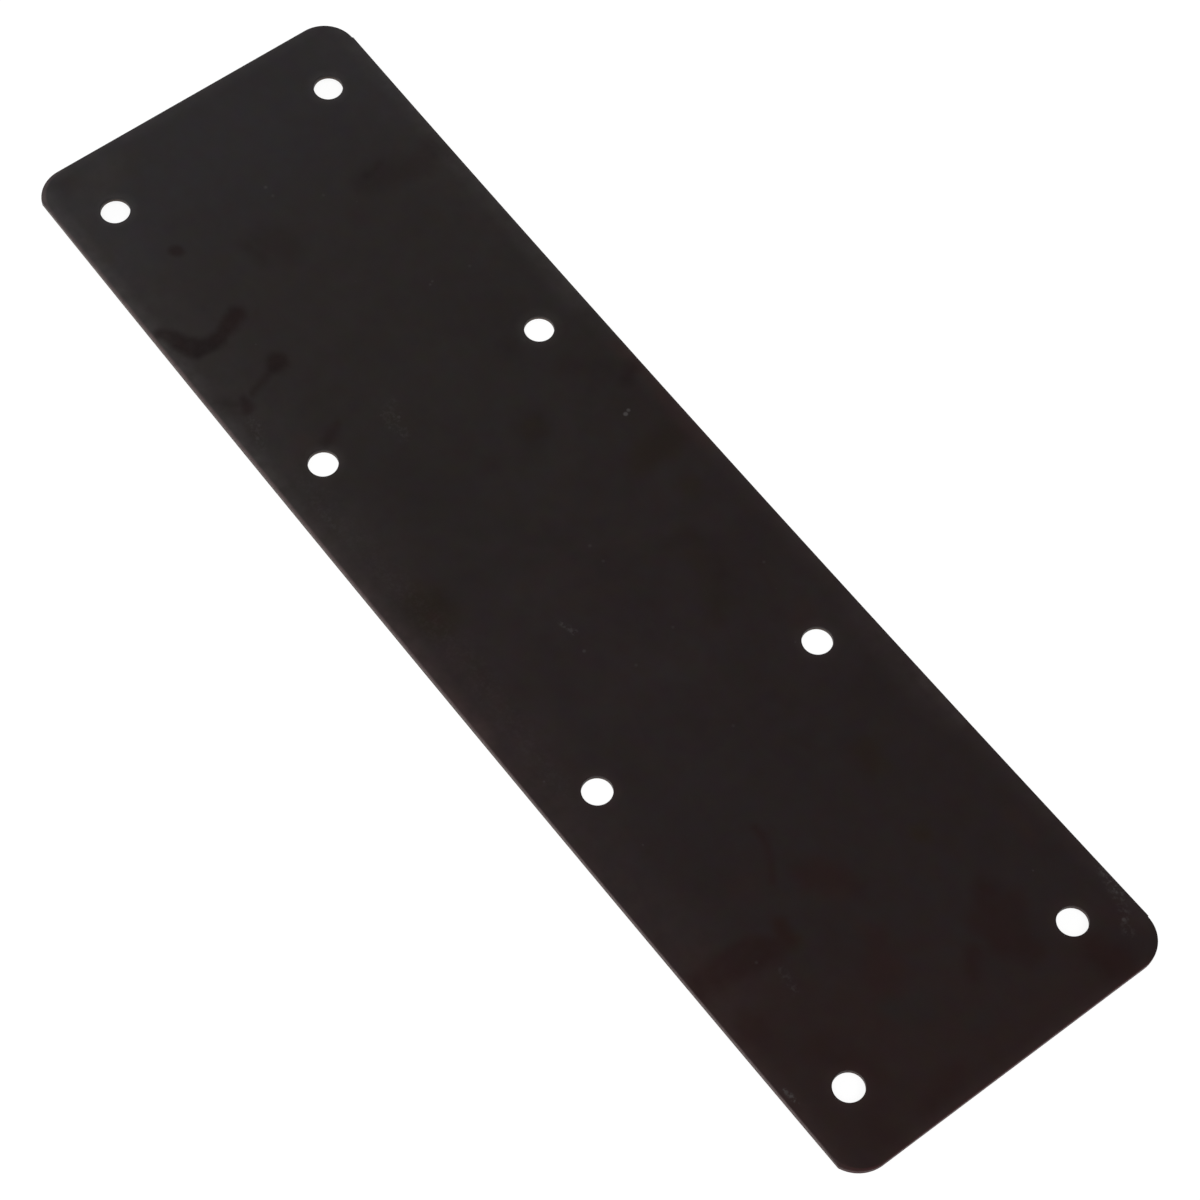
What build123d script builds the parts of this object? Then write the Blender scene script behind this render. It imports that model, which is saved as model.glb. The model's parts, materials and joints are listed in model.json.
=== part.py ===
from build123d import *
import os
from math import asin, degrees

# Rectangular cover plate: one piece of sheet steel, sheared to a strip, with its four corners
# cropped round and two rows of screw holes punched along its long edges.
#
# Frame: +X runs along the plate, +Y across it and +Z up. The plate lies on its underside, and
# the origin is where that underside rests, under the middle of the plate. Millimetres.

# --- Strip -----------------------------------------------------------------------------------
PLATE_LENGTH = 350.0
PLATE_WIDTH = 100.0
SHEET_THICKNESS = 1.5
BOW_RISE = 3.6  # the sheet is bowed along X: both ends stand this high above the middle

# --- Punching --------------------------------------------------------------------------------
PUNCH_SHIFT = -0.5  # along Y, how far the crops and the holes sit off the strip's centre line
CORNER_RADIUS = 9.5
CROP_OVERSIZE = 0.5  # the cropping tool is this much wider than the strip
HOLE_DIAMETER = 8.0
END_MARGIN = 19.5  # from a sheared end to the centre of its nearest holes
SIDE_MARGIN = 15.0  # from a long edge of a centred strip to the row of holes beside it
MIDDLE_PITCH = 117.0  # along X, between the two inner holes of a row
ROLLOVER_RADIUS = 0.2  # where the punch enters, it draws the edge of the face down

# --- Worked out from the above ---------------------------------------------------------------
half_length = PLATE_LENGTH / 2
bow_radius = (half_length**2 + BOW_RISE**2) / (2 * BOW_RISE)  # of the underside
trim = 2 * SHEET_THICKNESS  # spare sheet at each end and face, which the outline cuts away
half_angle = degrees(asin((half_length + trim) / bow_radius))
outer_pitch = PLATE_LENGTH - 2 * END_MARGIN
row_pitch = PLATE_WIDTH - 2 * SIDE_MARGIN
cut_depth = BOW_RISE + SHEET_THICKNESS + trim

with BuildPart() as cover_plate:
    # The bowed sheet: two arcs about one centre high above the plate, drawn across the plate.
    with BuildSketch(Plane.XZ) as section:
        with BuildLine():
            underside = CenterArc((0, bow_radius), bow_radius, 270 - half_angle, 2 * half_angle)
            upper_face = CenterArc(
                (0, bow_radius), bow_radius - SHEET_THICKNESS, 270 - half_angle, 2 * half_angle
            )
            Line(underside @ 0, upper_face @ 0)
            Line(underside @ 1, upper_face @ 1)
        make_face()
    extrude(amount=PLATE_WIDTH, both=True)

    # The outline: the cropping tool rounds the corners a little off centre. Towards -Y its arcs
    # run out through the edge, which leaves a kink, and towards +Y they nick the edge.
    with BuildSketch() as outline:
        with Locations((0, PUNCH_SHIFT)):
            RectangleRounded(PLATE_LENGTH, PLATE_WIDTH + CROP_OVERSIZE, CORNER_RADIUS)
        Rectangle(PLATE_LENGTH - 2 * CORNER_RADIUS, PLATE_WIDTH)
        Rectangle(PLATE_LENGTH, PLATE_WIDTH, mode=Mode.INTERSECT)
    extrude(amount=cut_depth, both=True, mode=Mode.INTERSECT)

    # The screw holes, in two rows of four, punched straight down.
    with Locations((0, PUNCH_SHIFT)):
        with GridLocations(outer_pitch, row_pitch, 2, 2):
            Hole(HOLE_DIAMETER / 2)
        with GridLocations(MIDDLE_PITCH, row_pitch, 2, 2):
            Hole(HOLE_DIAMETER / 2)

    # The rolled edge of the upper face, round the outline and every hole.
    upper = cover_plate.faces().sort_by(Axis.Z)[-1]
    fillet(upper.edges(), ROLLOVER_RADIUS)

cover_plate.part.label = "cover_plate"

os.makedirs("parts", exist_ok=True)
export_step(cover_plate.part, "parts/cover_plate.step")
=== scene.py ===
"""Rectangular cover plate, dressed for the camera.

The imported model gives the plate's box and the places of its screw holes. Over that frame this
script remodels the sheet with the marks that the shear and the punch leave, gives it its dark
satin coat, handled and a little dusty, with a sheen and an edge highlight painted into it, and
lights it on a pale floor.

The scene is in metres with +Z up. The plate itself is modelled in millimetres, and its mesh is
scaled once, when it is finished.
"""

import json
import logging
import math
from dataclasses import dataclass, field
from enum import IntEnum
from typing import Any, Iterable, Optional, Union

import bmesh
import bpy
from mathutils import Matrix, Vector

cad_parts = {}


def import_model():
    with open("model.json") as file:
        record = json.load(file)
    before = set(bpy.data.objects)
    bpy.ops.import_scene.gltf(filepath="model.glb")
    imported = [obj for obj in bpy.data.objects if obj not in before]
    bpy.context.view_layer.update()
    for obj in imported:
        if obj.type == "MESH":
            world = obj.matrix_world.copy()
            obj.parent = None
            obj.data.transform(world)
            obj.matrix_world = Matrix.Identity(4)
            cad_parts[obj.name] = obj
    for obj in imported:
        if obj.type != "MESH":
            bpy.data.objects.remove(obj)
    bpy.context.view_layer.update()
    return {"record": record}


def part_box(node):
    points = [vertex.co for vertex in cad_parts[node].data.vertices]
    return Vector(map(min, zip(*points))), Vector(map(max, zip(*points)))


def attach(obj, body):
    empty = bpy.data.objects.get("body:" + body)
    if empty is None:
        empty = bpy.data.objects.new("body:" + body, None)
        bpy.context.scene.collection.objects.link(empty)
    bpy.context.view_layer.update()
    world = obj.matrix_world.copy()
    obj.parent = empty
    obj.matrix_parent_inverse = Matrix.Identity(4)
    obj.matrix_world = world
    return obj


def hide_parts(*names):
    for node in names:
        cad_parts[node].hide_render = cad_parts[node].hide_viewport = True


LOG = logging.getLogger("cover_plate")

MM = 0.001
PLATE_NODE = "cover_plate"
PLATE_BODY = "root"
OUTER_SCREWS = "outer_screws"
INNER_SCREWS = "inner_screws"

UP = Vector((0, 0, 1))
ALONG = Vector((1, 0, 0))
ACROSS = Vector((0, 1, 0))
FLAT = (1, 1, 0)  # times this, a place keeps only what it is along and across
TOUCHING = 1e-4  # millimetres: two places nearer than this are one
FAR = 1000.0  # millimetres: well beyond the plate
LEVEL = 0.99  # a face is level whose unit normal rises or falls by more than this
SHORTEST_RUN = 1e-6  # the square of a stroke's length, so that a lone dab divides by something
STROKE = "smear_stroke"
STROKE_INPUTS = {
    "NodeSocketVector": ("State", "Start", "Run"),
    "NodeSocketFloat": ("Radius", "Taper", "Softness", "Strength"),
}

GREY = (0.5, 0.5, 0.5)
WHITE = (1.0, 1.0, 1.0)

Colour = tuple[float, float, float]
Place = tuple[float, float]
Range = tuple[float, ...]  # where a change begins and ends, and the results there, else 0 and 1
Stir = tuple[float, float]  # the size of some clouds, and how far they shift what is drawn
Mesh = bmesh.types.BMesh
Vert = bmesh.types.BMVert
Socket = bpy.types.NodeSocket
Feed = Union[float, Colour, Vector, Socket]


class Skin(IntEnum):
    """The parts of the sheet's surface, in the order of its material slots."""

    FACE = 0
    UNDERSIDE = 1
    POLISHED_CUT = 2
    TORN_CUT = 3


# --- The sheet -------------------------------------------------------------------------------


@dataclass(frozen=True)
class CutEdge:
    """Section of a sheared or punched edge, from the face where the tool enters. Millimetres.

    The tool draws the face down into a roll, polishes the wall below it, and tears the rest,
    which leans back from the cut.
    """

    roll: float = 0.2
    roll_steps: int = 5
    polished: float = 0.45
    lean: float = 0.03
    margin: float = 0.3  # flat skirt round each edge, which keeps the roll's shading to itself

    @property
    def torn_from(self) -> float:
        """Depth below the face at which the torn part begins."""
        return self.roll + self.polished


@dataclass(frozen=True)
class HoleRectangle:
    """Four equal screw holes at the corners of a rectangle. Millimetres."""

    centre: Place
    pitch_along: float
    pitch_across: float
    radius: float

    @classmethod
    def from_mount(cls, mount: dict[str, Any]) -> "HoleRectangle":
        """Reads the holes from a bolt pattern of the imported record.

        Args:
            mount: the record's entry, with its place in metres and its sizes in millimetres.

        Returns:
            The four holes.
        """
        x, y, _ = (value / MM for value in mount["pos_m"])
        sizes = mount["dims"]
        return cls((x, y), sizes["spacing_x_mm"], sizes["spacing_y_mm"], sizes["hole_r_mm"])

    def columns(self) -> list[float]:
        """Places along the plate where its holes stand."""
        return [self.centre[0] + side * self.pitch_along / 2 for side in (-1, 1)]

    def rows(self) -> list[float]:
        """Places across the plate where its holes stand."""
        return [self.centre[1] + side * self.pitch_across / 2 for side in (-1, 1)]

    def places(self) -> list[Place]:
        """Centres of the four holes."""
        return [(x, y) for y in self.rows() for x in self.columns()]


@dataclass
class CoverPlate:
    """The bowed sheet with its cropped corners and its two rows of screw holes. Millimetres."""

    length: float
    width: float
    height: float  # of the whole plate as it lies, from its rest to the tops of its raised ends
    holes: list[HoleRectangle]
    thickness: float = 1.5
    corner_radius: float = 9.5
    crop_oversize: float = 0.5  # the corner tool is this much wider than the strip
    corner_steps: int = 18
    hole_steps: int = 64
    column_step: float = 12.0  # greatest distance between two cross cuts of the faces' mesh
    row_step: float = 24.0
    crease: float = math.radians(28)  # a sharper edge than this isn't shaded smooth
    cut: CutEdge = field(default_factory=CutEdge)
    name: str = "bowed_sheet"

    @classmethod
    def in_frame(cls, mounts: list[dict[str, Any]]) -> "CoverPlate":
        """Takes the plate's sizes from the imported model.

        Args:
            mounts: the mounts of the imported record.

        Returns:
            A plate that fills the node's box and has the record's holes.
        """
        low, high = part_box(PLATE_NODE)
        size = (high - low) / MM
        named = {mount["name"]: mount for mount in mounts}
        holes = [HoleRectangle.from_mount(named[name]) for name in (OUTER_SCREWS, INNER_SCREWS)]
        return cls(size.x, size.y, size.z, holes)

    @property
    def punch_shift(self) -> float:
        """How far across the plate its crops and holes sit off its centre line."""
        return self.holes[0].centre[1]

    @property
    def bow_radius(self) -> float:
        """Radius of the arc in which the sheet is bowed along its length."""
        rise = self.height - self.thickness
        return ((self.length / 2) ** 2 + rise**2) / (2 * rise)

    def build(self) -> bpy.types.Object:
        """Models the sheet.

        Returns:
            The finished piece, in metres, at its place in the frame.
        """
        mesh = bmesh.new()
        self._cut_blank(mesh)
        self._give_thickness(mesh)
        self._roll_outline(mesh)
        self._open_faces(mesh)
        for rectangle in self.holes:
            for place in rectangle.places():
                self._punch(mesh, place, rectangle.radius)
        self._close_faces(mesh)
        self._divide(mesh)
        self._name_skins(mesh)
        self._bow(mesh)
        self._shade(mesh)
        bmesh.ops.scale(mesh, vec=(MM, MM, MM), verts=mesh.verts)
        return finished_piece(self.name, mesh)

    def _cut_blank(self, mesh: Mesh) -> None:
        """Cuts the strip's flat outline, with the corner tool a little off its centre line.

        Towards -Y the tool's arcs run out through the edge, which leaves a kink at each corner.
        Towards +Y they stop short of it, which leaves a small step.

        Args:
            mesh: the empty mesh that takes the outline, at the height of the upper face.
        """
        bmesh.ops.create_grid(mesh, x_segments=1, y_segments=1, size=0.5)
        cropped_width = self.width + self.crop_oversize
        bmesh.ops.scale(mesh, vec=(self.length, cropped_width, 1), verts=mesh.verts)
        bmesh.ops.translate(mesh, vec=(0, self.punch_shift, self.thickness), verts=mesh.verts)
        bmesh.ops.bevel(
            mesh, geom=mesh.verts[:], offset=self.corner_radius, offset_type="OFFSET",
            segments=self.corner_steps, profile=0.5, affect="VERTICES", material=-1,
        )
        near_edge = -ACROSS * self.width / 2
        bmesh.ops.bisect_plane(
            mesh, geom=everything(mesh), plane_co=near_edge, plane_no=-ACROSS, clear_outer=True
        )
        cropped_edge = self.punch_shift + cropped_width / 2
        seam = [edge for edge in mesh.edges if lies_at(edge, ACROSS, cropped_edge)]
        grown = bmesh.ops.extrude_edge_only(mesh, edges=seam)["geom"]
        step = ACROSS * (self.width / 2 - cropped_edge)
        bmesh.ops.translate(mesh, vec=step, verts=verts_among(grown))
        bmesh.ops.dissolve_edges(mesh, edges=seam, use_verts=False)

    def _give_thickness(self, mesh: Mesh) -> None:
        """Grows the outline down to the underside: a plumb wall first, then the torn part.

        Args:
            mesh: the outline's one face.
        """
        grown = bmesh.ops.extrude_face_region(mesh, geom=mesh.faces[:])["geom"]
        bmesh.ops.translate(mesh, vec=-UP * self.cut.torn_from, verts=verts_among(grown))
        bmesh.ops.recalc_face_normals(mesh, faces=mesh.faces[:])
        bmesh.ops.inset_region(
            mesh, faces=self._flat_faces(mesh, -1), thickness=self.cut.lean,
            depth=self.thickness - self.cut.torn_from, use_boundary=True, use_even_offset=True,
        )

    def _roll_outline(self, mesh: Mesh) -> None:
        """Rolls the upper edge of the outline down.

        Args:
            mesh: the flat sheet.
        """
        mesh.normal_update()
        (upper,) = self._flat_faces(mesh, 1)
        bmesh.ops.bevel(
            mesh, geom=upper.edges[:], offset=self.cut.roll, offset_type="OFFSET",
            segments=self.cut.roll_steps, profile=0.5, affect="EDGES", clamp_overlap=False,
            material=-1,
        )

    def _open_faces(self, mesh: Mesh) -> None:
        """Leaves only a narrow margin of both faces, so that the holes can be let into them.

        Args:
            mesh: the flat sheet.
        """
        mesh.normal_update()
        for side in (-1, 1):
            faces = self._flat_faces(mesh, side)
            bmesh.ops.inset_region(
                mesh, faces=faces, thickness=self.cut.margin, use_boundary=True, use_even_offset=True
            )
            bmesh.ops.delete(mesh, geom=faces, context="FACES_ONLY")

    def _punch(self, mesh: Mesh, place: Place, radius: float) -> None:
        """Spins the section of a punched edge round the middle of a hole.

        Args:
            mesh: the opened sheet.
            place: the middle of the hole.
            radius: the hole's radius at its polished wall.
        """
        centre = Vector((*place, 0))
        wall = centre + ALONG * radius
        lip = mesh.verts.new(wall + UP * (self.thickness - self.cut.roll))
        rolled = bmesh.ops.spin(
            mesh, geom=[lip], cent=lip.co + ALONG * self.cut.roll, axis=ACROSS, angle=math.pi / 2,
            steps=self.cut.roll_steps, use_merge=False, use_duplicate=False,
        )["geom_last"]
        crest = verts_among(rolled)[0]
        self._draw(mesh, crest, crest.co + ALONG * self.cut.margin)
        torn_top = wall + UP * (self.thickness - self.cut.torn_from)
        torn_foot = wall + ALONG * self.cut.lean
        self._draw(mesh, lip, torn_top, torn_foot, torn_foot + ALONG * self.cut.margin)
        section = [part for part in (*mesh.verts, *mesh.edges) if part.is_wire]
        bmesh.ops.spin(
            mesh, geom=section, cent=centre, axis=UP, angle=math.tau, steps=self.hole_steps,
            use_merge=True, use_duplicate=False,
        )

    @staticmethod
    def _draw(mesh: Mesh, vert: Vert, *stops: Vector) -> None:
        """Draws straight lines onwards from a vertex.

        Args:
            mesh: the mesh that takes them.
            vert: the vertex they begin at.
            stops: where each line ends.
        """
        for stop in stops:
            vert = bmesh.ops.extrude_vert_indiv(mesh, verts=[vert])["verts"][0]
            vert.co = stop

    def _close_faces(self, mesh: Mesh) -> None:
        """Fills both faces between the outline's margin and the holes' margins.

        Args:
            mesh: the opened sheet with its punched edges.
        """
        bmesh.ops.remove_doubles(mesh, verts=mesh.verts[:], dist=TOUCHING)
        for level, side in ((0, -1), (self.thickness, 1)):
            rim = [edge for edge in mesh.edges if edge.is_boundary and lies_at(edge, UP, level)]
            bmesh.ops.triangle_fill(mesh, edges=rim, use_beauty=True, normal=UP * side)
        bmesh.ops.recalc_face_normals(mesh, faces=mesh.faces[:])

    def _divide(self, mesh: Mesh) -> None:
        """Cuts the faces' mesh across and along, so that it can follow the bow evenly.

        The cuts pass through the middles of the holes, and evenly between them.

        Args:
            mesh: the closed flat sheet.
        """
        columns = sorted(x for rectangle in self.holes for x in rectangle.columns())
        rows = self.holes[0].rows()
        for way, stops, step in ((ALONG, columns, self.column_step), (ACROSS, rows, self.row_step)):
            for stop in evenly_between(stops, step):
                bmesh.ops.bisect_plane(
                    mesh, geom=everything(mesh), dist=TOUCHING, plane_co=way * stop, plane_no=way
                )

    def _name_skins(self, mesh: Mesh) -> None:
        """Gives each face the material slot of its part of the surface.

        Args:
            mesh: the closed flat sheet.
        """
        mesh.normal_update()
        torn_below = self.thickness - self.cut.torn_from
        for face in mesh.faces:
            level = face.calc_center_median().z
            if face.normal.z < -LEVEL:
                face.material_index = Skin.UNDERSIDE
            elif level < torn_below:
                face.material_index = Skin.TORN_CUT
            elif level < self.thickness - self.cut.roll:
                face.material_index = Skin.POLISHED_CUT
            else:
                face.material_index = Skin.FACE

    def _bow(self, mesh: Mesh) -> None:
        """Bends the sheet along its length, so that both ends rise and the middle rests.

        Args:
            mesh: the closed flat sheet.
        """
        radius = self.bow_radius
        for vert in mesh.verts:
            vert.co.z += radius - math.sqrt(radius**2 - vert.co.x**2)

    def _shade(self, mesh: Mesh) -> None:
        """Shades the sheet smooth, except over its creases.

        Args:
            mesh: the bowed sheet.
        """
        mesh.normal_update()
        for face in mesh.faces:
            face.smooth = True
        for edge in mesh.edges:
            edge.smooth = not edge.is_manifold or edge.calc_face_angle() < self.crease

    @staticmethod
    def _flat_faces(mesh: Mesh, side: int) -> list[bmesh.types.BMFace]:
        """Finds the one large face on a side of the flat sheet.

        Args:
            mesh: the flat sheet.
            side: 1 for the upper side, -1 for the underside.

        Returns:
            A list of that face.
        """
        level = [face for face in mesh.faces if face.normal.z * side > LEVEL]
        return [max(level, key=lambda face: face.calc_area())]


def everything(mesh: Mesh) -> list[Any]:
    """All the vertices, edges and faces of a mesh."""
    return mesh.verts[:] + mesh.edges[:] + mesh.faces[:]


def verts_among(geometry: list[Any]) -> list[Vert]:
    """The vertices among what an operator has made."""
    return [part for part in geometry if isinstance(part, Vert)]


def lies_at(edge: bmesh.types.BMEdge, axis: Vector, level: float) -> bool:
    """Whether an edge's two ends are both at one level along an axis."""
    return all(abs(vert.co.dot(axis) - level) < TOUCHING for vert in edge.verts)


def evenly_between(stops: list[float], step: float) -> list[float]:
    """Adds places between stops so that no two neighbours are further apart than a step.

    Args:
        stops: places, in order.
        step: the greatest distance.

    Returns:
        The stops and the places added between them, in order.
    """
    places = [stops[0]]
    for start, end in zip(stops, stops[1:]):
        parts = max(1, math.ceil((end - start) / step))
        places += [start + (end - start) * part / parts for part in range(1, parts + 1)]
    return places


def finished_piece(name: str, mesh: Mesh) -> bpy.types.Object:
    """Makes an object of a mesh, at the origin, unturned and unscaled.

    Args:
        name: the piece's name.
        mesh: its mesh, which is freed.

    Returns:
        The new object, in the scene.
    """
    data = bpy.data.meshes.new(name)
    mesh.to_mesh(data)
    mesh.free()
    piece = bpy.data.objects.new(name, data)
    bpy.context.scene.collection.objects.link(piece)
    return piece


# --- Finishes --------------------------------------------------------------------------------


@dataclass(frozen=True)
class Clouds:
    """A cloudy pattern, and what comes of it over a stretch of its values. Millimetres."""

    grain: float  # about how large its clouds are
    detail: float = 2.0  # how many finer layers it has
    roughness: float = 0.5  # how strong each finer layer is
    distortion: float = 0.0
    low: float = 0.3  # where the stretch begins
    high: float = 0.7  # and where it ends
    at_low: float = 0.0  # the result at its beginning
    at_high: float = 1.0  # and at its end


class ShaderGraph:
    """A node tree with one short method for each kind of node that the finishes need."""

    TO_NUMBERS = ("DOT_PRODUCT", "DISTANCE", "LENGTH")  # what turns vectors into a number

    def __init__(self, tree: bpy.types.NodeTree) -> None:
        """Empties the tree.

        Args:
            tree: the node tree to fill.
        """
        self.tree = tree
        tree.nodes.clear()

    def node(
        self, kind: str, inputs: Optional[dict[Union[str, int], Feed]] = None, **settings: Any
    ) -> bpy.types.Node:
        """Adds a node.

        Args:
            kind: its type, as Blender names it.
            inputs: what goes into it, by the names or numbers of its inputs.
            settings: attributes to set on it.

        Returns:
            The node.
        """
        made = self.tree.nodes.new(kind)
        for name, value in settings.items():
            setattr(made, name, value)
        for key, value in (inputs or {}).items():
            self.feed(made.inputs[key], value)
        return made

    def feed(self, socket: Socket, value: Feed) -> None:
        """Sets an input to a value, or links it to an output.

        Args:
            socket: the input.
            value: a number, a colour, a vector or another node's output.
        """
        if isinstance(value, Socket):
            self.tree.links.new(value, socket)
        elif socket.type == "RGBA":
            socket.default_value = (*value, 1)
        else:
            socket.default_value = value

    def math(self, operation: str, *numbers: Feed, clamp: bool = False) -> Socket:
        """Calculates with numbers.

        Args:
            operation: Blender's name of the sum.
            numbers: what goes into it, in order.
            clamp: whether the result is kept from 0 to 1.

        Returns:
            The result.
        """
        inputs = dict(enumerate(numbers))
        made = self.node("ShaderNodeMath", inputs, operation=operation, use_clamp=clamp)
        return made.outputs["Value"]

    def vector(self, operation: str, first: Feed, second: Feed = (0, 0, 0)) -> Socket:
        """Calculates with vectors.

        Args:
            operation: Blender's name of the sum.
            first: the first vector.
            second: the second vector, or the number that SCALE takes.

        Returns:
            The result, which is a number where the sum makes one.
        """
        inputs = {0: first, "Scale" if operation == "SCALE" else 1: second}
        made = self.node("ShaderNodeVectorMath", inputs, operation=operation)
        return made.outputs["Value" if operation in self.TO_NUMBERS else "Vector"]

    def axes(self, vector: Feed) -> tuple[Socket, Socket, Socket]:
        """Takes a vector apart into its three numbers."""
        return tuple(self.node("ShaderNodeSeparateXYZ", {"Vector": vector}).outputs)

    def spread(
        self, value: Feed, low: Feed, high: Feed, at_low: Feed = 0, at_high: Feed = 1,
        soft: bool = False,
    ) -> Socket:
        """Maps a range of numbers to another and clamps it there.

        Args:
            value: the number.
            low: where the range begins.
            high: where it ends.
            at_low: the result at its beginning.
            at_high: the result at its end.
            soft: whether it eases in and out.

        Returns:
            The result.
        """
        inputs = dict(enumerate((value, low, high, at_low, at_high)))
        easing = "SMOOTHSTEP" if soft else "LINEAR"
        made = self.node("ShaderNodeMapRange", inputs, interpolation_type=easing, clamp=True)
        return made.outputs["Result"]

    def blend(self, share: Feed, first: Feed, second: Feed) -> Socket:
        """Mixes two colours.

        Args:
            share: how much of the second there is, from 0 to 1.
            first: the first colour.
            second: the second colour.

        Returns:
            The mixed colour.
        """
        inputs = {"Factor": share, 6: first, 7: second}
        made = self.node(
            "ShaderNodeMix", inputs, data_type="RGBA", blend_type="MIX", clamp_factor=True
        )
        return made.outputs[2]

    def seen_rays(self) -> Socket:
        """Tells rays that see a surface, straight, mirrored or through glass, from the rest.

        Returns:
            1 for a ray that sees, 0 for one that only lights.
        """
        path = self.node("ShaderNodeLightPath").outputs
        mirrored = self.math("MAXIMUM", path["Is Glossy Ray"], path["Is Transmission Ray"])
        return self.math("MAXIMUM", path["Is Camera Ray"], mirrored)


@dataclass(frozen=True)
class Smear:
    """A mark made by dabs that run into one another: wiped-off or drifted dust, or a stain.

    Places, radii and softness are in millimetres. Strength is the share of the film that it takes
    away, or of the dust or the tint that it lays on.
    """

    dabs: tuple[tuple[float, float, float], ...]  # x, y and radius
    softness: float
    strength: float


def smears_of(*rows: tuple) -> tuple[Smear, ...]:
    """Smears from rows that hold the softness, the strength and then each dab."""
    return tuple(Smear(tuple(dabs), softness, strength) for softness, strength, *dabs in rows)


def smear_stroke() -> bpy.types.NodeTree:
    """Group of nodes for one stroke of a smear, from one dab to the next, made at first use.

    One vector runs through all strokes: the place across and along the plate, with the mark made
    so far as its third number. So each stroke waits for the one before, which keeps few numbers
    in hand at a time.

    Returns:
        The group.
    """
    if STROKE in bpy.data.node_groups:
        return bpy.data.node_groups[STROKE]
    group = bpy.data.node_groups.new(STROKE, "ShaderNodeTree")
    for kind, names in STROKE_INPUTS.items():
        for name in names:
            group.interface.new_socket(name, in_out="INPUT", socket_type=kind)
    group.interface.new_socket("State", in_out="OUTPUT", socket_type="NodeSocketVector")
    graph = ShaderGraph(group)
    given = graph.node("NodeGroupInput").outputs
    state, run = given["State"], given["Run"]
    along, across, so_far = graph.axes(state)
    away = graph.vector("SUBTRACT", graph.vector("MULTIPLY", state, FLAT), given["Start"])
    reach, whole = (graph.vector("DOT_PRODUCT", other, run) for other in (away, run))
    share = graph.math("DIVIDE", reach, graph.math("MAXIMUM", whole, SHORTEST_RUN), clamp=True)
    gap = graph.vector("DISTANCE", away, graph.vector("SCALE", run, share))
    radius = graph.math("MULTIPLY_ADD", given["Taper"], share, given["Radius"])
    outside = graph.math("SUBTRACT", gap, radius)
    half = graph.math("MULTIPLY", given["Softness"], 0.5)
    inner = graph.math("MULTIPLY", half, -1)
    mark = graph.spread(outside, inner, half, given["Strength"], 0, soft=True)
    marked = graph.math("MAXIMUM", mark, so_far)
    onwards = graph.node("ShaderNodeCombineXYZ", {"X": along, "Y": across, "Z": marked})
    graph.node("NodeGroupOutput", {"State": onwards.outputs["Vector"]})
    return group


class FinishGraph(ShaderGraph):
    """The graph of one of the plate's finishes, which knows where on the plate it is.

    Places are in millimetres from the plate's middle.
    """

    def __init__(self, name: str) -> None:
        """Begins a material.

        Args:
            name: the material's name.
        """
        self.material = bpy.data.materials.new(name)
        super().__init__(nodes_of(self.material))
        metres = self.node("ShaderNodeTexCoord").outputs["Object"]
        self.place = self.vector("SCALE", metres, 1 / MM)
        self.along, self.across, _ = self.axes(self.place)

    def noise(self, pattern: Clouds, place: Optional[Socket] = None) -> bpy.types.Node:
        """Adds a cloudy pattern.

        Args:
            pattern: the pattern.
            place: where, if it isn't the place on the plate.

        Returns:
            The node, which has a Fac and a Color output.
        """
        inputs = {
            "Vector": self.place if place is None else place,
            "Scale": 1 / pattern.grain,
            "Detail": pattern.detail,
            "Roughness": pattern.roughness,
            "Distortion": pattern.distortion,
        }
        return self.node("ShaderNodeTexNoise", inputs, noise_dimensions="3D")

    def clouds(self, pattern: Clouds) -> Socket:
        """What comes of a cloudy pattern, as a number."""
        height = self.noise(pattern).outputs["Fac"]
        return self.spread(height, pattern.low, pattern.high, pattern.at_low, pattern.at_high)

    def stirred(self, *stirs: Stir) -> Socket:
        """Shifts the place by cloudy patterns, so that the edges of what is drawn are uneven.

        Args:
            stirs: the patterns, each laid over what the one before has shifted.

        Returns:
            The shifted place.
        """
        place = self.place
        for grain, reach in stirs:
            clouds = self.noise(Clouds(grain), place).outputs["Color"]
            shift = self.vector("SCALE", self.vector("SUBTRACT", clouds, GREY), reach)
            place = self.vector("ADD", place, shift)
        return place

    def stamp(self, smears: Iterable[Smear], place: Optional[Socket] = None) -> Socket:
        """Stamps smears over one another. Where they overlap, the strongest shows.

        Args:
            smears: the smears.
            place: where, if it isn't the place on the plate.

        Returns:
            How strongly the plate is marked, from 0 to 1.
        """
        state = self.vector("MULTIPLY", self.place if place is None else place, FLAT)
        for smear in smears:
            ends = smear.dabs[1:] or smear.dabs
            for (x, y, radius), (end_x, end_y, end_radius) in zip(smear.dabs, ends):
                inputs = {
                    "State": state,
                    "Start": (x, y, 0),
                    "Run": (end_x - x, end_y - y, 0),
                    "Radius": radius,
                    "Taper": end_radius - radius,
                    "Softness": smear.softness,
                    "Strength": smear.strength,
                }
                stroke = self.node("ShaderNodeGroup", inputs, node_tree=smear_stroke())
                state = stroke.outputs["State"]
        return self.axes(state)[2]

    def bump(self, relief: Feed, depth: float) -> Socket:
        """Turns a height pattern into a surface normal.

        Args:
            relief: the pattern, from 0 to 1.
            depth: how high it stands.

        Returns:
            The normal.
        """
        inputs = {"Height": relief, "Distance": depth * MM, "Strength": 1}
        return self.node("ShaderNodeBump", inputs).outputs["Normal"]

    def coat(self, colour: Feed, roughness: Feed, specular: float, normal: Feed) -> None:
        """Ends the graph in one principled surface.

        Args:
            colour: its base colour.
            roughness: its roughness.
            specular: its specular level, the same all over.
            normal: its normal.
        """
        inputs = {"Base Color": colour, "Roughness": roughness, "Normal": normal}
        surface = self.node("ShaderNodeBsdfPrincipled", inputs)
        surface.inputs["Specular IOR Level"].default_value = specular
        self.node("ShaderNodeOutputMaterial", {"Surface": surface.outputs["BSDF"]})


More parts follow.
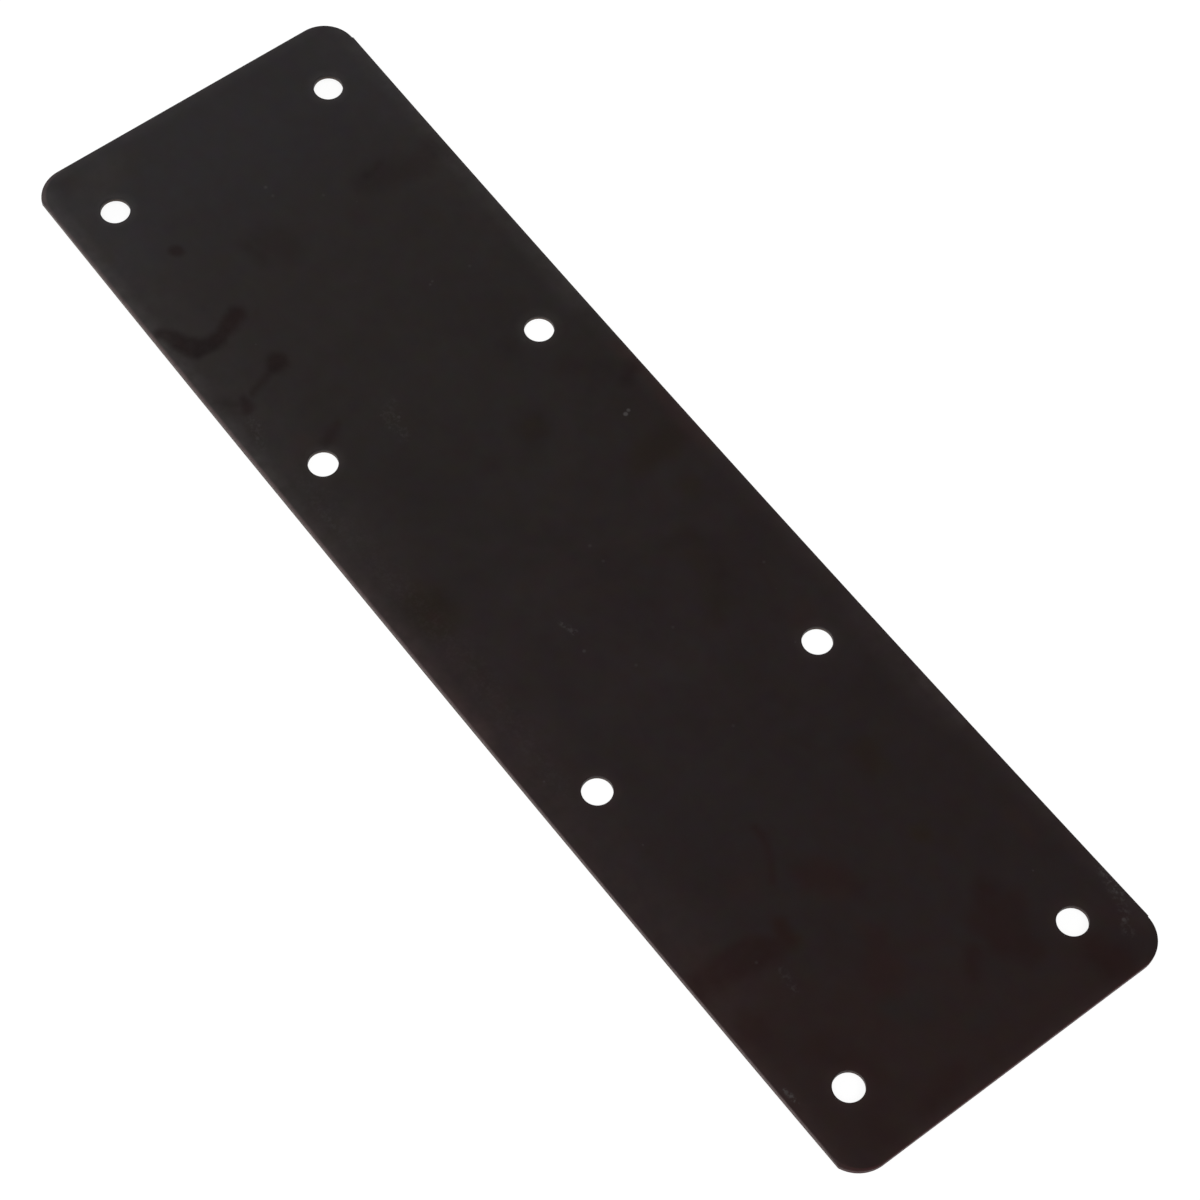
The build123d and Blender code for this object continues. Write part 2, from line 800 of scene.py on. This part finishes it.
def nodes_of(owner: Union[bpy.types.Material, bpy.types.World]) -> bpy.types.NodeTree:
    """Node tree of a new material or world, which is set to use it."""
    owner.use_nodes = True
    return owner.node_tree


@dataclass(frozen=True)
class Stain:
    """A tint of the dusty film, and the patches where it shows."""

    colour: Colour
    patches: tuple[Smear, ...]


@dataclass(frozen=True)
class FilmAndSheenZone:
    """A stretch of the plate where the dusty film, with any sheen painted into it, has one colour.
    Millimetres.
    """

    colour: Colour
    starts: float = -FAR  # place along the plate where it takes over from the zone before
    run_in: float = 20.0
    slant: float = 0.0  # how far the start moves along for each millimetre across


@dataclass(frozen=True)
class SatinCoat:
    """Dark satin coat under a dust film wiped off where handled, with a painted sheen and edge
    highlight.

    Sizes are in millimetres, and shares are parts of 1. Ranges run along the plate, those named
    a side run across it, and those named an end are counted inwards from that end.
    """

    name: str
    outline: tuple[float, float, float]  # half the length, half the width, corner radius
    # the film's colours along the plate; on the face they hold a painted sheen, paler and greyer towards
    # -X
    film: tuple[FilmAndSheenZone, ...]
    smears: tuple[Smear, ...] = ()
    stains: tuple[Stain, ...] = ()
    drifts: tuple[Smear, ...] = ()
    scuffs: tuple[Smear, ...] = ()
    grains: tuple[Smear, ...] = ()

    coat: Colour = (0.0064, 0.0026, 0.0024)
    warm: Colour = (0.0170, 0.0065, 0.0059)
    warm_clouds: Clouds = Clouds(11, 3, 0.6, low=0.4, high=0.62, at_high=0.35)
    warm_range: Range = (50, 110, 0, 0.8)

    film_cover: float = 0.85
    film_clouds: Clouds = Clouds(26, 3, 0.55, 0.4, at_low=-0.09, at_high=0.09)
    film_streaks: Clouds = Clouds(5, 3, 0.6, at_low=-0.05, at_high=0.05)
    mottle: Clouds = Clouds(4.6, 2, 0.55)
    mottle_reach: Colour = (0.20, 0.36, 0.42)  # how far it changes each of the colours
    zone_stir: Stir = (16, 34)
    stain_stir: Stir = (9, 7)
    wipe_stirs: tuple[Stir, Stir] = ((14, 4), (4, 1.5))
    wipe_clouds: Clouds = Clouds(3, 3, 0.6, high=0.6, at_low=0.8)

    dust: Colour = (0.065, 0.059, 0.058)
    warm_dust: Colour = (0.080, 0.052, 0.050)
    warm_dust_range: Range = (-70, 20)
    warm_dust_side: Range = (-10, 10, 1, 0.5)
    dust_left: float = 0.3  # how much drifted dust is left where the film is wiped off
    dust_holds: float = 0.1  # how much film may be missing before its drifted dust is too
    drift_clouds: Clouds = Clouds(4, 4, 0.6, high=0.65, at_low=0.45)
    scuff_clouds: Clouds = Clouds(1.1, 3, 0.7, low=0.48, high=0.62)
    speck_pitch: float = 7.0
    speck_sizes: Range = (0.55, 1, 0, 0.055)  # from each speck's lot to its part of the pitch
    speck_edge: float = -0.02
    speck_strength: float = 0.25

    # Painted highlight: a pale band along the rolled edge, strongest on the edge towards -Y that faces
    # the edge lamp, reddish at the +X end.
    edge_highlight: Colour = (0.120, 0.088, 0.086)
    ruddy_highlight: Colour = (0.110, 0.034, 0.036)
    highlight_width: float = 0.92
    highlight_widths: Range = (-60, 70, 1, 0.46)  # the part of that width which is painted pale
    highlight_core: float = 0.35  # the part of it that is painted as pale as it gets
    highlight_share: float = 0.0  # how much of the coat is painted pale as a highlight on the edge towards -Y
    highlight_side: Range = (-44, -38, 1, 0.1)  # and on the other edges, as a part of that
    highlight_left_end: Range = (10, 60, 0.45, 1)
    highlight_right_end: Range = (14, 6, 1, 0.15)
    ruddy_highlight_end: Range = (8, 3)  # on the right, where the painted highlight turns reddish
    ruddy_highlight_share: float = 0.0  # how much of the coat is painted pale there
    highlight_clouds: Clouds = Clouds(2, 4, 0.6, high=0.6, at_low=0.6)

    specular: float = 0.10
    wiped_roughness: float = 0.29
    filmed_roughness: float = 0.41
    peel: Clouds = Clouds(0.9)
    peel_share: float = 0.012
    wave: Clouds = Clouds(60, 1)
    relief: float = 0.25

    def build(self) -> bpy.types.Material:
        """Makes the material.

        Returns:
            The material.
        """
        graph = FinishGraph(self.name)
        film = self._film(graph)
        warm = graph.spread(graph.along, *self.warm_range)
        warm = graph.math("ADD", graph.clouds(self.warm_clouds), warm, clamp=True)
        colour = graph.blend(warm, self.coat, self.warm)
        colour = graph.blend(film, colour, self._film_and_sheen_colour(graph))
        colour = self._dusted(graph, colour, film)
        colour = self._painted_edge_highlight(graph, colour)
        roughness = graph.spread(film, 0, 1, self.wiped_roughness, self.filmed_roughness)
        peel = graph.math("MULTIPLY", graph.noise(self.peel).outputs["Fac"], self.peel_share)
        relief = graph.math("ADD", peel, graph.noise(self.wave).outputs["Fac"])
        graph.coat(colour, roughness, self.specular, graph.bump(relief, self.relief))
        return graph.material

    def _film_and_sheen_colour(self, graph: FinishGraph) -> Socket:
        """Colours the dusty film and its painted sheen, paler towards -X, stained, mottled and changing
        along the plate.

        Args:
            graph: the material's graph.

        Returns:
            The film's colour.
        """
        along, across, _ = graph.axes(graph.stirred(self.zone_stir))
        colour: Feed = self.film[0].colour
        for zone in self.film[1:]:
            reach = graph.math("MULTIPLY_ADD", across, -zone.slant, along)
            share = graph.spread(reach, zone.starts, zone.starts + zone.run_in, soft=True)
            colour = graph.blend(share, colour, zone.colour)
        stirred = graph.stirred(self.stain_stir)
        for stain in self.stains:
            colour = graph.blend(graph.stamp(stain.patches, stirred), colour, stain.colour)
        mottle = graph.vector("SUBTRACT", graph.noise(self.mottle).outputs["Color"], GREY)
        tint = graph.vector("ADD", graph.vector("MULTIPLY", mottle, self.mottle_reach), WHITE)
        return graph.vector("MULTIPLY", colour, tint)

    def _film(self, graph: FinishGraph) -> Socket:
        """Lays the dusty film, and wipes it off where the plate was handled.

        Args:
            graph: the material's graph.

        Returns:
            How thick the film lies, from 0 to 1.
        """
        marks = graph.stamp(self.smears, graph.stirred(*self.wipe_stirs))
        wiped = graph.math("MULTIPLY", marks, graph.clouds(self.wipe_clouds))
        cover = graph.math("ADD", graph.clouds(self.film_clouds), self.film_cover)
        cover = graph.math("ADD", cover, graph.clouds(self.film_streaks))
        return graph.math("MULTIPLY", cover, graph.math("SUBTRACT", 1, wiped), clamp=True)

    def _dusted(self, graph: FinishGraph, colour: Feed, film: Socket) -> Socket:
        """Lays pale dust on the film, in drifts, broken scuffs, single grains and specks.

        Args:
            graph: the material's graph.
            colour: the colour of the film and of the coat that shows through it.
            film: how thick the film lies.

        Returns:
            The colour with the dust on it.
        """
        warm_range = graph.spread(graph.along, *self.warm_dust_range)
        warm_side = graph.spread(graph.across, *self.warm_dust_side)
        warm = graph.math("MULTIPLY", warm_range, warm_side)
        left = graph.spread(film, 0, self.film_cover - self.dust_holds, self.dust_left, 1)
        drifted = graph.math("MULTIPLY", graph.stamp(self.drifts), graph.clouds(self.drift_clouds))
        drifted = graph.math("MULTIPLY", drifted, left)
        colour = graph.blend(drifted, colour, graph.blend(warm, self.dust, self.warm_dust))
        scuffed = graph.math("MULTIPLY", graph.stamp(self.scuffs), graph.clouds(self.scuff_clouds))
        scattered = graph.math("MAXIMUM", scuffed, graph.stamp(self.grains))
        colour = graph.blend(scattered, colour, self.dust)
        return graph.blend(self._specks(graph), colour, self.dust)

    def _specks(self, graph: FinishGraph) -> Socket:
        """Scatters specks of pale dust, one in each cell whose lot is high enough.

        Args:
            graph: the material's graph.

        Returns:
            The share of dust, from 0 to 1.
        """
        inputs = {"Vector": graph.place, "Scale": 1 / self.speck_pitch}
        cells = graph.node("ShaderNodeTexVoronoi", inputs, feature="F1", distance="EUCLIDEAN")
        lots = graph.node("ShaderNodeSeparateColor", {"Color": cells.outputs["Color"]})
        size = graph.spread(lots.outputs["Red"], *self.speck_sizes)
        outside = graph.math("SUBTRACT", cells.outputs["Distance"], size)
        return graph.spread(outside, self.speck_edge, 0, self.speck_strength, 0)

    def _painted_edge_highlight(self, graph: FinishGraph, colour: Feed) -> Socket:
        """Paints a highlight pale round the outline, mostly on the edge towards -Y, which faces the edge
        lamp.

        Args:
            graph: the material's graph.
            colour: the colour without the painted highlight.

        Returns:
            The colour with the painted edge highlight.
        """
        half_length, half_width, radius = self.outline
        corner = (half_length - radius, half_width - radius, FAR)
        past = graph.vector("SUBTRACT", graph.vector("ABSOLUTE", graph.place), corner)
        reach = graph.vector("LENGTH", graph.vector("MAXIMUM", past))
        depth = graph.math("SUBTRACT", reach, radius)
        left_end = graph.math("ADD", graph.along, half_length)
        right_end = graph.math("SUBTRACT", half_length, graph.along)
        begins = graph.spread(left_end, *self.highlight_left_end)
        ends = graph.spread(right_end, *self.highlight_right_end)
        share = graph.math("MULTIPLY", graph.math("MINIMUM", begins, ends), self.highlight_share)
        share = graph.math("MULTIPLY", share, graph.spread(graph.across, *self.highlight_side))
        ruddy = graph.spread(right_end, *self.ruddy_highlight_end)
        share = graph.math("MAXIMUM", share, graph.math("MULTIPLY", ruddy, self.ruddy_highlight_share))
        width = graph.math("MULTIPLY", graph.spread(graph.along, *self.highlight_widths), -self.highlight_width)
        core = graph.math("MULTIPLY", width, self.highlight_core)
        highlighted = graph.spread(depth, width, core, 0, share)
        highlighted = graph.math("MULTIPLY", highlighted, graph.clouds(self.highlight_clouds))
        return graph.blend(highlighted, colour, graph.blend(ruddy, self.edge_highlight, self.ruddy_highlight))


@dataclass(frozen=True)
class CutSteel:
    """A cut wall of the sheet, hardly coated: its colour varies along the cut. Millimetres."""

    name: str
    colour: Colour
    worn: Colour
    roughness: float
    specular: float
    relief: float
    wear: Clouds = Clouds(3, 4, 0.65, low=0.35)
    grain: Clouds = Clouds(0.12, 3, 0.7, at_low=-0.06, at_high=0.06)
    ruddy: Colour = (0.060, 0.026, 0.027)
    ruddy_ranges: tuple[Range, Range] = ((20, 150, 0, 0.35), (168, 172, 0, 0.65))

    def build(self) -> bpy.types.Material:
        """Makes the material.

        Returns:
            The material.
        """
        graph = FinishGraph(self.name)
        colour = graph.blend(graph.clouds(self.wear), self.colour, self.worn)
        shares = (graph.spread(graph.along, *stretch) for stretch in self.ruddy_ranges)
        colour = graph.blend(graph.math("ADD", *shares), colour, self.ruddy)
        roughness = graph.math("ADD", graph.clouds(self.grain), self.roughness)
        normal = graph.bump(graph.noise(self.grain).outputs["Fac"], self.relief)
        graph.coat(colour, roughness, self.specular, normal)
        return graph.material


# Painted sheen: these film colours turn paler and greyer towards -X and stand in for the sheen lamp's
# reflection; their warmer tone towards +X is the film's own.
FACE_FILM_AND_SHEEN = (
    FilmAndSheenZone((0.0184, 0.0158, 0.0168)),
    FilmAndSheenZone((0.0181, 0.0143, 0.0135), -146, 24),
    FilmAndSheenZone((0.0192, 0.0139, 0.0138), -50, 80),
    FilmAndSheenZone((0.0172, 0.0126, 0.0125), 45, 40),
    FilmAndSheenZone((0.0191, 0.0116, 0.0108), 130, 30, 0.8),
)
UNDERSIDE_FILM = (FilmAndSheenZone((0.0182, 0.0136, 0.0130)),)

# Marks are in rows: softness, strength, then the x, y and radius of each dab. Millimetres.
HANDLING = smears_of(
    # Drips from between the screw holes, down to the long edge towards -Y.
    (
        3, 1, (-109.3, -27, 2.5), (-107.4, -31, 2.1), (-105.9, -35, 2.2), (-106, -38.6, 2.5),
        (-107, -42.2, 3), (-111, -45, 2.7), (-116, -47.4, 1.9),
    ),
    (3, 0.86, (-90.8, -27.4, 2.8), (-89.2, -30, 1.9)),
    (3, 0.67, (-89, -31, 1.3), (-87.4, -35, 1), (-86.4, -38.6, 1)),
    (3, 0.76, (-86.6, -41.6, 1.1), (-83.8, -42.2, 2)),
    (3.8, 0.44, (-86, -44, 1.2), (-89, -46.6, 1.4), (-94, -49, 1.4)),
    (3.2, 0.46, (-66.4, -25.5, 1.2), (-64.4, -29, 1.7), (-63, -31.4, 1.7)),
    (5, 0.12, (-66, -19, 1.2), (-66.4, -25, 1.2)),
    (2.2, 1, (-134.6, -28.8, 1.9)),
    (4.2, 0.55, (113, -22, 1.8), (118, -23.6, 2.6)),
    (4.2, 0.57, (117.5, -27, 3), (115.5, -33, 4.2), (114.6, -40, 3.8), (114, -46, 3.2), (117, -49, 2.4)),
    (2.4, 0.42, (90, -10.8, 0.7), (94.5, -11.6, 0.9), (98.5, -13.6, 0.9), (103, -17, 0.7)),
    # Fingermarks.
    (6.4, 0.38, (-121.5, 47, 4.4), (-120.6, 39, 3.8), (-122.6, 31, 4.4), (-124, 25, 4.2)),
    (5, 0.62, (-125.6, 31, 1.6), (-125.6, 25.6, 2)),
    (7, 0.38, (-123.6, -7.6, 5), (-119, -4.4, 4.6)),
    (7, 0.22, (-116.4, 15.9, 3)),
    (6, 0.49, (-125, -13.6, 2.2), (-119.6, -12.6, 2.2)),
    (6, 0.21, (-45, 34.6, 3.6), (-37, 42, 1.6)),
    (7, 0.3, (-58.6, 23.6, 2.4)),
    (6, 0.2, (-36.6, 14.6, 4.4), (-33, 14, 3.6)),
    (6.2, 0.2, (-31.6, -1, 2.4)),
    (5, 0.44, (-34, 47, 2.4), (-32.4, 43.6, 1.8)),
    (7.6, 0.12, (-13, 43, 4), (-10.4, 31, 2.6)),
    (6.2, 0.18, (13.6, 20.4, 1.8), (14, 28, 1.8), (22, 31.6, 1.8), (29, 28, 2.2)),
    (6.2, 0.11, (29, 28, 2.2), (33, 22, 2.6), (37, 17.4, 1.8)),
    (7, 0.11, (86.6, 22, 4.2), (92, 19.6, 3)),
    (7, 0.24, (107, -8, 4), (112, -4, 3.4), (118.4, -0.4, 1.8)),
    (7.6, 0.16, (131.6, -5, 2.6), (137.4, -8.6, 3.2), (138.6, -14.6, 2.6)),
    (6.4, 0.52, (137, 23, 3.4), (144, 21, 7), (150, 18.2, 4.6), (155.6, 21, 3.8)),
    (6, 0.6, (147, 11, 1.6), (152, 6, 1.4)),
    (7, 0.6, (164, 34.4, 4.6), (169.6, 35.6, 5)),
    (7.6, 0.32, (144.6, -34.6, 4.2), (157.6, -28.6, 2)),
    (7, 0.27, (164, -36, 2.4), (172.6, -36.4, 3.2)),
    (7, 0.4, (131, -44.6, 4.4)),
    (7, 0.41, (168, -14.4, 3), (171, -23, 2.6)),
)

STAINS = (
    Stain(
        (0.0168, 0.0117, 0.0080),  # brown
        smears_of(
            (6, 0.8, (-10.5, -38, 5.2), (-3.5, -38.5, 5.4)),
            (6, 0.7, (-11.5, 42, 4.4), (-9.5, 32, 3.6)),
            (5, 0.6, (3.5, 36.5, 3.8)),
            (6, 0.48, (15, 27, 3), (27, 25, 4), (36, 20, 3)),
            (4, 0.4, (-35, 15.5, 3.4)),
            (5, 0.75, (89.5, 24.6, 3.6), (93.5, 23.6, 3.6)),
            (4, 0.75, (115, 21.5, 3.2)),
            (4, 0.7, (113, -22, 1.8), (118.5, -23.6, 2.6)),
            (6, 0.4, (-166, -24, 4), (-165, -31, 4), (-169, -40, 3)),
            (4, 0.4, (-152, -46, 2), (-145, -45.4, 2.6)),
        ),
    ),
    Stain(
        (0.0206, 0.0104, 0.0095),  # reddish
        smears_of(
            (3, 0.5, (-4.6, -38.4, 2)),
            (6, 0.6, (109, -7.6, 4.6), (115, -4, 4.2)),
            (6, 0.55, (129, -5.6, 3.4), (137, -8.6, 3.6), (140.6, -11.4, 2.8)),
            (3, 0.9, (176.5, -42, 1.6), (176.5, 42, 1.6)),
        ),
    ),
    Stain(
        (0.0245, 0.0125, 0.0112),  # red
        smears_of(
            (6, 0.7, (-42, 49, 2.4), (-5, 49, 2.8)),
            (6, 0.4, (50, 36, 4)),
            (6, 0.35, (126, 43, 3), (131, 43, 3)),
            (6, 0.38, (152, 33, 2.6), (155.9, 41.6, 3), (166, 47, 3)),
            (6, 0.34, (99.9, -23.4, 4)),
            (5, 0.25, (-65.6, -36, 3), (-65, -41, 2.6)),
        ),
    ),
    Stain(
        (0.0158, 0.0132, 0.0124),  # grey
        smears_of(
            (6, 0.7, (145, -15, 2.6), (151.6, -10, 4.4)),
            (6, 0.6, (162.4, 0, 4.2)),
        ),
    ),
)

DRIFTS = smears_of(
    # A wide haze inwards from both long edges.
    (28, 0.155, (-152, -50, 12), (-26, -50, 12)),
    (28, 0.12, (12, -50, 12), (118, -50, 10)),
    (28, 0.105, (-165, 50, 12), (-92, 50, 9)),
    # Bands of dust along the edges.
    (10, 0.58, (-172, -50, 3), (-60, -50, 2.8)),
    (10, 0.44, (-60, -50, 2.8), (30, -50, 2.8)),
    (9, 0.2, (30, -50, 3), (100, -50, 2.4), (172, -50, 1.6)),
    (6, 0.16, (-136, -46, 1), (-121, -46, 2)),
    (10, 0.14, (-170, -28, 5), (-160, -42, 7)),
    (8, 0.4, (-176, -44, 2), (-176, 44, 2)),
    (12, 0.42, (-170, 50.5, 3), (-60, 50.5, 3)),
    (8.6, 0.19, (-60, 50.5, 2.6), (0, 50.5, 2.2), (165, 50.5, 2.4)),
    (5, 0.26, (72, 50, 0.6), (84, 49, 2.6), (98, 49.4, 2)),
    (11, 0.17, (60, 50, 4), (84, 50, 6), (96, 50, 4)),
    (7, 0.18, (176, -40, 1.6), (176, 40, 1.6)),
)

SCUFFS = smears_of(
    (3, 0.13, (-63, -10, 1), (-61, -14, 1.4)),
    (3, 0.17, (-60, -13, 2), (-53, -13.8, 1.6)),
    (1.2, 0.5, (15.6, -14.4, 0.5), (19.8, -13.2, 0.7)),
    (2, 0.2, (123, -29.6, 1), (129, -30.4, 1)),
    (2.2, 0.44, (149, 49.4, 1), (157, 48, 1.4)),
    (2.4, 0.28, (158, 48, 1), (166, 43, 1.2)),
    (2.6, 0.22, (-80, -43, 1.2), (-72, -45.6, 1.2)),
    (2.6, 0.14, (-50, -44, 1.2), (-38, -44.2, 1.2)),
    (7, 0.07, (-56, -43, 3), (10, -40, 4), (52, -43, 3)),
    (0.9, 0.75, (147, -48.1, 0.4), (149, -47.9, 0.6), (151.4, -47.7, 0.3)),
)

GRAINS = smears_of(
    (0.5, 0.27, (-58.2, -11.6, 0.42)),
    (0.5, 0.18, (-57, -15.4, 0.34)),
    (0.5, 0.15, (-61.4, -15, 0.34)),
    (0.5, 0.36, (19, -13.6, 0.47)),
    (0.5, 0.33, (25.6, -14.5, 0.42)),
    (0.5, 0.62, (-24.3, 38.1, 0.5)),
    (0.5, 0.8, (-23.8, 36.8, 0.6)),
    (0.5, 0.3, (-87.3, 20.4, 0.3)),
    (0.5, 0.3, (-86.8, 19.3, 0.3)),
    (0.5, 0.18, (-85.4, 31.4, 0.38)),
    (0.5, 0.3, (-138.2, 1.6, 0.47)),
    (0.5, 0.21, (-134.8, 1.6, 0.42)),
    (0.5, 0.18, (-127, 12.8, 0.42)),
    (0.5, 0.21, (-77.6, -42.4, 0.38)),
    (0.5, 0.24, (-74.6, -45, 0.47)),
    (0.5, 0.21, (2.2, 5.2, 0.42)),
    (0.5, 0.18, (7.8, 5.2, 0.38)),
    (0.5, 0.18, (33.6, 7.6, 0.38)),
    (0.5, 0.18, (36.6, -6.5, 0.38)),
    (0.5, 0.15, (64.6, 2.4, 0.38)),
    (0.5, 0.21, (32.6, 38, 0.34)),
    (0.5, 0.18, (117.8, -33, 0.38)),
    (0.5, 0.48, (162.7, 44.5, 0.51)),
    (0.5, 0.5, (147.7, -48.1, 0.5)),
    (0.5, 0.6, (149.1, -47.9, 0.42)),
)


@dataclass(frozen=True)
class PlateFinish:
    """The plate's four finishes, one for each part of its surface. Millimetres."""

    face: SatinCoat
    underside: SatinCoat
    polished_cut: CutSteel = CutSteel(
        "polished_cut", (0.014, 0.0115, 0.0100), (0.030, 0.0245, 0.0215),
        roughness=0.40, specular=0.12, relief=0.004,
    )
    torn_cut: CutSteel = CutSteel(
        "torn_cut", (0.090, 0.070, 0.061), (0.155, 0.122, 0.106),
        roughness=0.85, specular=0.10, relief=0.03,
    )
    ring_reach: float = 1.2  # of the dust round each screw hole, beyond its edge
    ring_softness: float = 4.4
    ring_strength: float = 0.21
    ring_thinning: float = 0.0008  # strength lost for each millimetre towards +X

    @classmethod
    def of(cls, plate: CoverPlate) -> "PlateFinish":
        """Fits the finishes to a plate's outline and holes.

        Args:
            plate: the plate.

        Returns:
            The finishes, with a little dust drifted against the edges and round the holes.
        """
        outline = (plate.length / 2, plate.width / 2, plate.corner_radius)
        rings = tuple(
            Smear(
                ((x, y, rectangle.radius + cls.ring_reach),),
                cls.ring_softness, cls.ring_strength - cls.ring_thinning * x,
            )
            for rectangle in plate.holes
            for x, y in rectangle.places()
        )
        # The face's coat has a sheen painted into its film and a highlight painted pale round its edge.
        face = SatinCoat(
            "dusty_coat", outline, FACE_FILM_AND_SHEEN, smears=HANDLING, stains=STAINS, drifts=DRIFTS + rings,
            scuffs=SCUFFS, grains=GRAINS, highlight_share=0.85, ruddy_highlight_share=0.22,
        )
        return cls(face, SatinCoat("rubbed_coat", outline, UNDERSIDE_FILM, film_cover=0.55))

    def dress(self, piece: bpy.types.Object) -> None:
        """Gives the piece its materials, in the order of its skins.

        Args:
            piece: the finished plate.
        """
        finishes = {
            Skin.FACE: self.face,
            Skin.UNDERSIDE: self.underside,
            Skin.POLISHED_CUT: self.polished_cut,
            Skin.TORN_CUT: self.torn_cut,
        }
        for skin in Skin:
            piece.data.materials.append(finishes[skin].build())


# --- Studio ----------------------------------------------------------------------------------


@dataclass(frozen=True)
class Bearing:
    """A direction from the plate: azimuth from -Y towards +X, and elevation. Degrees."""

    azimuth: float
    elevation: float

    def vector(self) -> Vector:
        """Works the direction out from its two angles.

        Returns:
            A vector of length 1 that points from the target to what looks at it.
        """
        turn, rise = math.radians(self.azimuth), math.radians(self.elevation)
        flat = math.cos(rise)
        return Vector((math.sin(turn) * flat, -math.cos(turn) * flat, math.sin(rise)))


def aimed(
    name: str, optics: Union[bpy.types.Light, bpy.types.Camera], place: Vector, target: Vector,
    roll: float = 0.0,
) -> bpy.types.Object:
    """Adds a lamp or camera that looks at a target.

    Args:
        name: its name.
        optics: the lamp or camera itself.
        place: where it stands.
        target: what it looks at.
        roll: how far it is turned about its line of sight, in degrees.

    Returns:
        The new object, in the scene.
    """
    turned = (place - target).to_track_quat("Z", "Y").to_matrix().to_4x4()
    made = bpy.data.objects.new(name, optics)
    rolled = Matrix.Rotation(math.radians(roll), 4, "Z")
    made.matrix_world = Matrix.Translation(place) @ turned @ rolled
    bpy.context.scene.collection.objects.link(made)
    return made


@dataclass(frozen=True)
class SoftBox:
    """A rectangular lamp that faces the plate. Metres and watts."""

    name: str
    bearing: Bearing
    distance: float
    width: float
    height: float
    power: float

    def build(self) -> None:
        """Adds the lamp to the scene."""
        light = bpy.data.lights.new(self.name, "AREA")
        light.shape = "RECTANGLE"
        light.size, light.size_y = self.width, self.height
        light.energy = self.power
        aimed(self.name, light, self.bearing.vector() * self.distance, Vector())


@dataclass(frozen=True)
class Floor:
    """The plain pale floor, white to the eye apart from the plate's soft shadow."""

    size: float = 12.0
    drop: float = 0.00005  # gap that keeps the floor and the plate's rest from one plane
    colour: Colour = (0.80, 0.80, 0.80)
    seen_colour: Colour = (0.20, 0.20, 0.20)
    seen_glow: float = 0.90

    def build(self) -> None:
        """Adds the floor to the scene."""
        mesh = bmesh.new()
        bmesh.ops.create_grid(mesh, x_segments=1, y_segments=1, size=self.size / 2)
        bmesh.ops.translate(mesh, vec=-UP * self.drop, verts=mesh.verts)
        floor = finished_piece("floor", mesh)
        floor.data.materials.append(self._finish())

    def _finish(self) -> bpy.types.Material:
        """Makes the floor's material.

        Returns:
            A matt surface, which glows a little where it is seen straight or mirrored.
        """
        material = bpy.data.materials.new("pale_floor")
        graph = ShaderGraph(nodes_of(material))
        matt, seen_matt = (
            graph.node("ShaderNodeBsdfDiffuse", {"Color": colour}).outputs["BSDF"]
            for colour in (self.colour, self.seen_colour)
        )
        glow = graph.node("ShaderNodeEmission", {"Strength": self.seen_glow}).outputs["Emission"]
        seen = graph.node("ShaderNodeAddShader", {0: seen_matt, 1: glow}).outputs["Shader"]
        mix = graph.node("ShaderNodeMixShader", {"Fac": graph.seen_rays(), 1: matt, 2: seen})
        graph.node("ShaderNodeOutputMaterial", {"Surface": mix.outputs["Shader"]})
        return material


@dataclass(frozen=True)
class Surroundings:
    """The studio round the plate: pale walls that darken towards the ceiling."""

    wall: float = 0.80
    seen_wall: float = 1.0  # the same walls where they are seen, straight or mirrored
    ceiling: float = 0.16
    wall_top: float = 12.0  # degrees above the horizon
    ceiling_from: float = 48.0

    def build(self) -> None:
        """Sets the world."""
        world = bpy.data.worlds.new("studio")
        bpy.context.scene.world = world
        graph = ShaderGraph(nodes_of(world))
        height = graph.axes(graph.node("ShaderNodeTexCoord").outputs["Generated"])[2]
        wall = graph.spread(graph.seen_rays(), 0, 1, self.wall, self.seen_wall)
        low, high = (math.sin(math.radians(angle)) for angle in (self.wall_top, self.ceiling_from))
        level = graph.spread(height, low, high, wall, self.ceiling, soft=True)
        glow = graph.node("ShaderNodeBackground", {"Color": WHITE, "Strength": level})
        graph.node("ShaderNodeOutputWorld", {"Surface": glow.outputs["Background"]})


@dataclass(frozen=True)
class Camera:
    """The camera. Metres and degrees, with its lens and sensor in millimetres."""

    aim: tuple[float, float, float] = (0.01569, -0.00184, 0.0)
    bearing: Bearing = Bearing(49.925, 61.237)
    distance: float = 0.82754
    roll: float = 3.024
    lens: float = 97.587
    sensor: float = 36.0
    clip: tuple[float, float] = (0.01, 50.0)

    def build(self) -> None:
        """Adds the camera and makes it the scene's."""
        optics = bpy.data.cameras.new("camera")
        optics.lens = self.lens
        optics.sensor_width = self.sensor
        optics.clip_start, optics.clip_end = self.clip
        aim = Vector(self.aim)
        place = aim + self.bearing.vector() * self.distance
        bpy.context.scene.camera = aimed("camera", optics, place, aim, self.roll)


@dataclass(frozen=True)
class Studio:
    """Floor, surroundings, lamps and camera."""

    floor: Floor = Floor()
    surroundings: Surroundings = Surroundings()
    lamps: tuple[SoftBox, ...] = (
        SoftBox("sheen_box", Bearing(252, 45), 1.8, 0.5, 0.4, 3.6),
        SoftBox("edge_box", Bearing(-25, 20), 1.5, 0.8, 0.4, 9),
        SoftBox("fill_box", Bearing(60, 60), 1.6, 1, 0.8, 11.7),
    )
    camera: Camera = Camera()

    def build(self) -> None:
        """Sets the studio up."""
        for item in (self.floor, self.surroundings, *self.lamps, self.camera):
            item.build()
        bpy.context.scene.view_settings.view_transform = "Standard"


def main() -> None:
    """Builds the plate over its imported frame, and the studio round it."""
    logging.basicConfig(level=logging.INFO, format="%(name)s: %(message)s")
    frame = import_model()

    plate = CoverPlate.in_frame(frame["record"]["mounts"])
    piece = plate.build()
    PlateFinish.of(plate).dress(piece)
    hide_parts(PLATE_NODE)
    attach(piece, PLATE_BODY)
    faces = len(piece.data.polygons)
    LOG.info("%s: %d faces, bow radius %.0f mm", piece.name, faces, plate.bow_radius)

    studio = Studio()
    studio.build()
    LOG.info("studio: %d lamps", len(studio.lamps))


if __name__ == "__main__":
    main()
